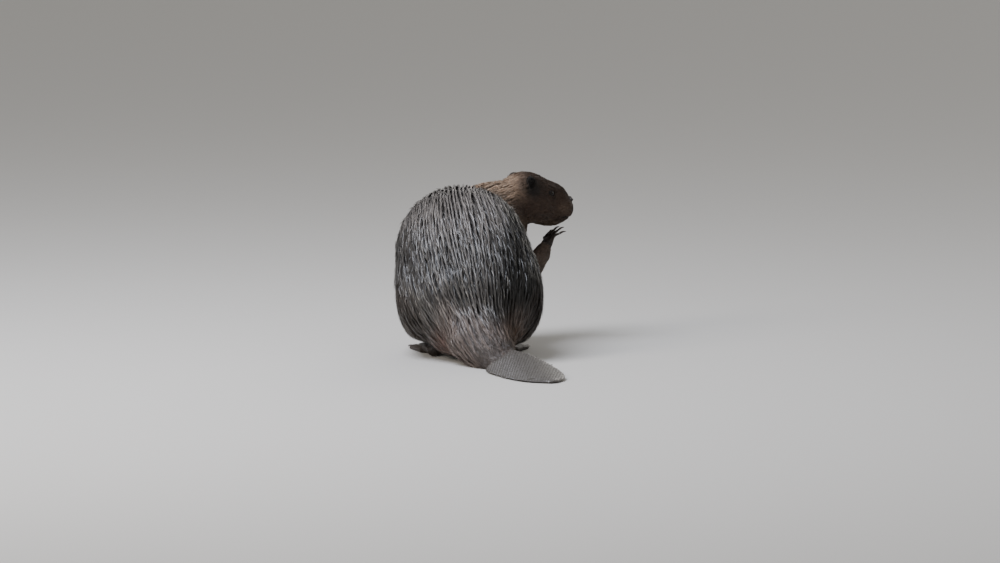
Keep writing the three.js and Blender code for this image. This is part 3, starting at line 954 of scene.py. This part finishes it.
def coatPiece(name, slot, material, roots, path, ups, halfWidths, tones, rolls):
    rows = path.shape[1] - 1
    across, lengthwise, faces = lockPattern(rows)
    row = np.rint(lengthwise * rows).astype(int)
    ways = np.gradient(path, axis=1)
    sides = unit(np.cross(ways, ups))
    taper = np.minimum(1, 0.55 + 1.6 * lengthwise) * (1 - lengthwise ** 2.4)
    half = halfWidths[:, None] * taper[None]
    ups = unit(np.cross(sides, ways))
    rolls = rolls[:, None, None]
    sides = sides * np.cos(rolls) + ups * np.sin(rolls)
    points = path[:, row] + sides[:, row] * (half * across)[..., None]
    points[..., 2] = np.maximum(points[..., 2], edgeOffFloor)
    patch = np.stack([across * 0.5, lengthwise - 0.5], 1)[None] * patchSize
    piece = joinedCopies(name, points, faces, roots["colour"], roots["map"][:, None] + patch, True)
    lock = np.stack(np.broadcast_arrays(across[None], lengthwise[None], tones[:, None]), -1)
    setAttribute(piece.data, "lock", "FLOAT_VECTOR", lock.reshape(-1, 3))
    return finished(piece, slot, material)


def coatMaterial(coat):
    # guard hair: dark at the root, paler towards the tip, each lock a little different
    material, tree, shader = newMaterial(coat["finish"])
    marks = addNode(tree, "Attribute", {"attribute_name": "markingAndPaintedLight"})
    lock = addNode(tree, "Attribute", {"attribute_name": "lock"})
    parts = addNode(tree, "SeparateXYZ", None, None, {"Vector": (lock, "Vector")})
    ramp = addNode(tree, "MapRange", {"interpolation_type": "SMOOTHSTEP"},
                   {"From Max": 0.7, "To Min": coat["root"], "To Max": coat["tip"]}, {"Value": (parts, "Y")})
    tone = addNode(tree, "Math", {"operation": "MULTIPLY"}, None, {0: (ramp, "Result"), 1: (parts, "Z")})
    colour = addNode(tree, "VectorMath", {"operation": "SCALE"}, None,
                     {"Vector": (marks, "Color"), "Scale": (tone, "Value")})
    wired(tree, shader, {"Roughness": coat["rough"], "Coat Weight": coat["wet"], "Coat Roughness": 0.3},
          {"Base Color": (colour, "Vector")})
    return material


# rows: steps along a lock. gather: how far it is drawn to its wet strand. tuft: locks in a small tuft.
# root, tip: shade of the marking there. rough, wet: gloss of the hair and of the water on it.
coats = {
    "guardHair": {"finish": "wetGuardHair", "slot": "back_coat", "parts": ("trunk",), "rows": 4,
                  "gather": 0.85, "tuft": 0, "root": 0.25, "tip": 1.25, "rough": 0.36, "wet": 0.5},
    "rumpFur": {"finish": "dampRumpFur", "slot": "back_coat", "parts": ("tail_root",), "rows": 4,
                "gather": 0.85, "tuft": 0, "root": 0.42, "tip": 1.12, "rough": 0.52, "wet": 0.15},
    "haunchFur": {"finish": "wetHaunchFur", "slot": "leg_coat", "parts": ("hind_leg",), "rows": 4,
                  "gather": 0.85, "tuft": 0, "root": 0.28, "tip": 1.18, "rough": 0.4, "wet": 0.3},
    "neckFur": {"finish": "dampNeckFur", "slot": "head_coat", "parts": ("neck",), "rows": 4,
                "gather": 0.15, "tuft": 7, "root": 0.36, "tip": 1.2, "rough": 0.5, "wet": 0.15},
    "headFur": {"finish": "dampHeadFur", "slot": "head_coat", "parts": ("head", "ear"), "rows": 3,
                "gather": 0, "tuft": 9, "root": 0.45, "tip": 1.2, "rough": 0.62, "wet": 0.04},
    "forelegFur": {"finish": "dampForelegFur", "slot": "leg_coat", "parts": ("foreleg",), "rows": 3,
                   "gather": 0, "tuft": 8, "root": 0.4, "tip": 1.15, "rough": 0.55, "wet": 0.08},
    "footHair": {"finish": "shortFootHair", "slot": "leg_coat", "parts": ("hind_foot", "forefoot"), "rows": 2,
                 "gather": 0, "tuft": 0, "root": 0.7, "tip": 1.1, "rough": 0.5, "wet": 0.1},
}
mostFaces = 190000           # in one piece
rootsAbove = 1.5 * mm        # none grow under the body


def growCoats():
    total = 0
    openEyes = lidSpread(places) > lids["furFrom"]
    for name, coat in coats.items():
        rows = coat["rows"]
        material = coatMaterial(coat)
        mask = np.any([isKind[p] for p in coat["parts"]], axis=0) & openEyes & (places[:, 2] > rootsAbove)
        roots = scatter(mask * 1.0)
        path, ups, crest, strandTone = lockPaths(roots, rows, coat["gather"])
        half = field["width"][roots["point"]] * mm / 2 * chance.uniform(0.7, 1.3, len(crest))
        tones = chance.normal(1, 0.16, len(crest)).clip(0.55, 1.6)
        rolls = chance.normal(0, 0.5, len(crest))
        if coat["gather"]:
            # painted shade and highlight: locks in the gaps between wet strands darker, those on a strand
            # paler
            tones = tones * strandTone * (0.55 + 0.6 * crest)
        if coat["tuft"]:
            path, tuftTone = tufted(path, roots, coat["tuft"], 0.6)
            tones = tones * tuftTone
        faces = len(half) * (2 * rows - 1)
        share = math.ceil(faces / mostFaces)
        for i, own in enumerate(np.array_split(np.arange(len(half)), share)):
            some = {key: value[own] for key, value in roots.items()}
            label = name if share == 1 else f"{name}_{i + 1}"
            coatPiece(label, coat["slot"], material, some, path[own], ups[own],
                      half[own], tones[own], rolls[own])
        total += faces
        say(f"{name}: {len(half)} locks in {share} pieces, {faces} triangles")
    say(f"coat: {total} triangles")


growCoats()


# Eyes, nose and claws
def nodeCopy(node, name):
    return newObject(name, meshOf(mergedNode(node), name))


def eyeMaterial():
    # dark brown iris round a wide pupil, under a wet clear surface
    material, tree, shader = newMaterial("wetBrownEye")
    rim = addNode(tree, "Attribute", {"attribute_name": "offAxis"})
    ramp = addNode(tree, "ValToRGB", None, None, {"Fac": (rim, "Fac")})
    ramp.color_ramp.elements.new(0.78)
    stops = ((0.30, "#030202"), (0.42, "#1d120b"), (0.78, "#0d0806"))
    for element, (position, code) in zip(ramp.color_ramp.elements, stops):
        element.position, element.color = position, linear(code)
    wired(tree, shader, {"Roughness": 0.25, "Specular IOR Level": 0.15, "Coat Weight": 0.5,
                         "Coat IOR": 1.38, "Coat Roughness": 0.04}, {"Base Color": (ramp, "Color")})
    return material


cornea = {"reach": 0.62, "proud": 0.25 * mm}     # share of the eye's radius, and how far it stands out


def makeEyes():
    material = eyeMaterial()
    for side in sideSign:
        bm = bmesh.new()
        bmesh.ops.create_uvsphere(bm, u_segments=32, v_segments=24, radius=eyeRadius)
        for v in bm.verts:
            off = v.co.xy.length / eyeRadius
            if v.co.z > 0 and off < cornea["reach"]:
                v.co.z += cornea["proud"] * (1 - (off / cornea["reach"]) ** 2)
        offAxis = np.array([v.co.xy.length / eyeRadius if v.co.z > 0 else 1 for v in bm.verts])
        along, up, out = (Vector(row) for row in eyeFrame(side))
        if along.cross(up).dot(out) < 0:
            along = -along
        turn = Matrix((along, up, out)).transposed().to_4x4()
        bmesh.ops.transform(bm, matrix=Matrix.Translation(eyePlaces[side]) @ turn, verts=bm.verts)
        mesh = meshOf(bm, f"eyeball_{side}")
        setAttribute(mesh, "offAxis", "FLOAT", offAxis)
        smooth(mesh)
        finished(newObject(f"eyeball_{side}", mesh), "eye", material, f"eye_{side}")


makeEyes()


def makeNose():
    # a leathery pad with a nostril opening to each side and a groove down its middle
    piece = nodeCopy("nose", "nosePad")
    addModifier(piece, "SUBSURF", levels=3, render_levels=3)
    mesh = applied(piece)
    points = readPoints(mesh)
    local = toHead(points) - np.array(noseInHead) / mm
    x, y, z = local.T
    facing = readNormals(mesh) @ np.array(headAxes)
    off = np.abs(x)
    nostril = spot((off, 8.2, 3.4), (z + 0.25 * (off - 8), -0.8, 2.1)) * (y > 0)
    groove = spot((x, 0, 1.0)) * ease(-z, -6, 0) * (y > 0)
    wing = spot((off, 10.5, 3.0), (z, 2.6, 2.2)) * (y > 0)
    local = local - facing * (5.2 * nostril + 1.2 * groove - 0.9 * wing)[:, None]
    writePoints(mesh, (local + np.array(noseInHead) / mm) * mm @ np.array(headAxes).T + np.array(headBase))
    # painted shade: how dark the nostrils and the groove are painted
    setAttribute(mesh, "hollowShade", "FLOAT", np.clip(nostril + 0.5 * groove, 0, 1))
    smooth(mesh)
    material, tree, shader = newMaterial("dampNoseLeather")
    place = addNode(tree, "TexCoord")
    hollowShade = addNode(tree, "Attribute", {"attribute_name": "hollowShade"})
    # pebbled grain of about 0.9 mm
    grain = addNode(tree, "TexVoronoi", None, {"Scale": 1 / 0.0009}, {"Vector": (place, "Object")})
    # painted shade: near black in the nostrils, half as dark along the groove
    ramp = addNode(tree, "ValToRGB", None, None, {"Fac": (hollowShade, "Fac")})
    ramp.color_ramp.elements[0].color = linear("#2a221f")
    ramp.color_ramp.elements[1].color = linear("#080606")
    bump = addNode(tree, "Bump", None, {"Strength": 0.4, "Distance": 0.0003}, {"Height": (grain, "Distance")})
    wired(tree, shader, {"Roughness": 0.36}, {"Base Color": (ramp, "Color"), "Normal": (bump, "Normal")})
    finished(piece, "nose_skin", material, "nose")


makeNose()


def onSkin(start, way):
    # where a straight line meets the skin, with the skin's own smooth normal and nearest point there
    hit, place, _, _ = skinPiece.ray_cast(Vector(start), Vector(way))
    if not hit:
        return None
    near = skinTree.find(place)[1]
    return np.array(place), normals[near], near


tailScales = {
    "across": 7.0,       # between neighbours in a row, mm
    "along": 5.2,        # between rows
    "rise": 0.4,         # of a scale's rim over the skin
    "crown": 0.25,       # of its middle over the rim
    "gap": 0.08,         # share of its width left as a groove
    "sunk": 0.4,         # share of the rise that is under the skin
    "flattest": 0.62,    # scales stop where the rim of the blade is steeper than this
    "rows": 70,
    "columns": 13,       # to each side of the middle
    "start": 84,         # first row, from the root of the tail
    "patch": 0.0015,     # half of each scale's patch in the skin's map
}


def scalePattern():
    # a low six-sided plate with sloping sides and a raised middle
    bm = bmesh.new()
    bmesh.ops.create_cone(bm, cap_ends=True, segments=6, radius1=1, radius2=0.8, depth=1)
    top = [f for f in bm.faces if f.calc_center_median().z > 0.49]
    bmesh.ops.poke(bm, faces=top, offset=tailScales["crown"] / tailScales["rise"])
    return patternOf(bm)


def scaleMaterial():
    # wet leathery scales, each a slightly different grey
    material, tree, shader = newMaterial("wetScaleLeather")
    marks = addNode(tree, "Attribute", {"attribute_name": "markingAndPaintedLight"})
    place = addNode(tree, "TexCoord")
    # fine wrinkles of about 0.7 mm across each scale
    wrinkles = addNode(tree, "TexNoise", None, {"Scale": 1 / 0.0007, "Detail": 3.0},
                       {"Vector": (place, "Object")})
    bump = addNode(tree, "Bump", None, {"Strength": 0.35, "Distance": 0.0003}, {"Height": (wrinkles, "Fac")})
    wired(tree, shader, {"Roughness": 0.38, "Coat Weight": 0.85, "Coat Roughness": 0.28},
          {"Base Color": (marks, "Color"), "Normal": (bump, "Normal")})
    return material


def makeTailScales():
    pattern, faces = scalePattern()
    mapAt = np.zeros((len(places), 2))
    mapAt[triangles.ravel()] = skinMap[triangleLoops.ravel()]
    halfWide = tailScales["across"] / math.sqrt(3) * (1 - tailScales["gap"]) * mm
    halfLong = tailScales["along"] / 1.5 * (1 - tailScales["gap"]) * mm
    found = []
    for face in (1, -1):
        for row in range(tailScales["rows"]):
            for column in range(-tailScales["columns"], tailScales["columns"] + 1):
                x = (column + 0.5 * (row % 2)) * tailScales["across"] + chance.normal(0, 0.3)
                y = tailScales["start"] + row * tailScales["along"] + chance.normal(0, 0.25)
                hit = onSkin(inTail(x, y, 90 if face > 0 else -20), (0, 0, -face))
                if hit and isKind["tail_blade"][hit[2]] and face * hit[1][2] >= tailScales["flattest"]:
                    found.append((*hit, chance.uniform(0.86, 1.05), chance.normal(1, 0.12)))
    middle, up, near, grow, tone = (np.array(values) for values in zip(*found))
    lengthways = unit(tailWay - up * dot(up, tailWay[None]))
    sideways = np.cross(lengthways, up)
    x, y, z = pattern.T[:, None, :, None]
    grow = grow[:, None, None]
    points = middle[:, None] + sideways[:, None] * x * halfWide * grow
    points = points + lengthways[:, None] * y * halfLong * grow
    points = points + up[:, None] * (z + 0.5 - tailScales["sunk"]) * tailScales["rise"] * mm
    points[..., 2] = np.maximum(points[..., 2], 0.2 * mm)
    mapPoints = mapAt[near][:, None] + pattern[None, :, :2] * tailScales["patch"]
    piece = joinedCopies("tailScales", points, faces, markingAndPaintedLight[near] * tone[:, None], mapPoints, False)
    finished(piece, "tail_skin", scaleMaterial())
    say(f"{len(found)} tail scales")


makeTailScales()


def streakedMaterial(finish):
    material, tree, shader = newMaterial(finish["name"])
    place = addNode(tree, "TexCoord")
    streaks = addNode(tree, "TexNoise", None, {"Scale": 1 / finish["size"], "Detail": finish["detail"]},
                      {"Vector": (place, "Object")})
    ramp = addNode(tree, "ValToRGB", None, None, {"Fac": (streaks, "Fac")})
    for element, code in zip(ramp.color_ramp.elements, finish["colours"]):
        element.color = linear(code)
    wired(tree, shader, {"Roughness": finish["rough"]}, {"Base Color": (ramp, "Color")})
    return material


whiskers = {"rows": 4, "perRow": 4, "shortest": 20, "longest": 36, "thick": 0.55, "steps": 6}
# stiff dark bristle with a slight gloss, in streaks of 6 mm
bristle = {"name": "stiffWhiskerHair", "size": 0.006, "detail": 2.0,
           "colours": ("#17110d", "#4a3c30"), "rough": 0.4}


def makeWhiskers():
    # tapering bristles in rows on both sides of the muzzle, bending down and back
    bm = bmesh.new()
    for side, sign in sideSign.items():
        for row in range(whiskers["rows"]):
            for column in range(whiskers["perRow"]):
                y = 140 - 6 * column - 1.5 * row + chance.normal(0, 0.8)
                z = -6 - 5.5 * row + chance.normal(0, 0.8)
                found = onSkin(inHead(sign * 90, y, z), headAxes @ Vector((-sign, 0, 0)))
                length = chance.uniform(whiskers["shortest"], whiskers["longest"])
                way = Vector((sign * 0.9, 0.1 - 0.2 * column, 0.05 - 0.14 * row)).normalized()
                here = toHead(found[0]) - np.array(way)
                stride = length / whiskers["steps"]
                radius = whiskers["thick"] / 2 * mm
                ring = bmesh.ops.create_circle(bm, cap_ends=True, segments=4, radius=radius)["verts"]
                turn = (headAxes @ way).to_track_quat("Z", "Y").to_matrix().to_4x4()
                start = Matrix.Translation(headBase + headAxes @ (Vector(here) * mm)) @ turn
                bmesh.ops.transform(bm, matrix=start, verts=ring)
                for done in range(whiskers["steps"]):
                    edges = list({e for v in ring for e in v.link_edges if all(w in ring for w in e.verts)})
                    grown = bmesh.ops.extrude_edge_only(bm, edges=edges)["geom"]
                    ring = [g for g in grown if isinstance(g, bmesh.types.BMVert)]
                    way = (way + Vector((0, -0.07, -0.06))).normalized()
                    bmesh.ops.translate(bm, verts=ring, vec=headAxes @ way * stride * mm)
                    middle = sum((v.co for v in ring), Vector()) / len(ring)
                    thin = 1 - 1 / (whiskers["steps"] - done + 1)
                    for v in ring:
                        v.co = middle + (v.co - middle) * thin
                bmesh.ops.pointmerge(bm, verts=ring, merge_co=middle)
    bmesh.ops.recalc_face_normals(bm, faces=bm.faces)
    mesh = meshOf(bm, "whiskers")
    smooth(mesh)
    finished(newObject("whiskers", mesh), "head_coat", streakedMaterial(bristle))


makeWhiskers()


# dark horn with fine paler streaks of 1.2 mm
clawHorn = {"name": "darkClawHorn", "size": 0.0012, "detail": 4.0,
            "colours": ("#241c17", "#4b3d33"), "rough": 0.34}


def makeClaws():
    horn = streakedMaterial(clawHorn)
    for node in sorted(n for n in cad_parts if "_claw_" in n):
        piece = nodeCopy(node, f"horn_{node}")
        addModifier(piece, "SUBSURF", levels=2, render_levels=2)
        smooth(applied(piece))
        finished(piece, "claw", horn, node)


makeClaws()
say("eyes, nose and claws")

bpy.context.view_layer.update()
say("done")
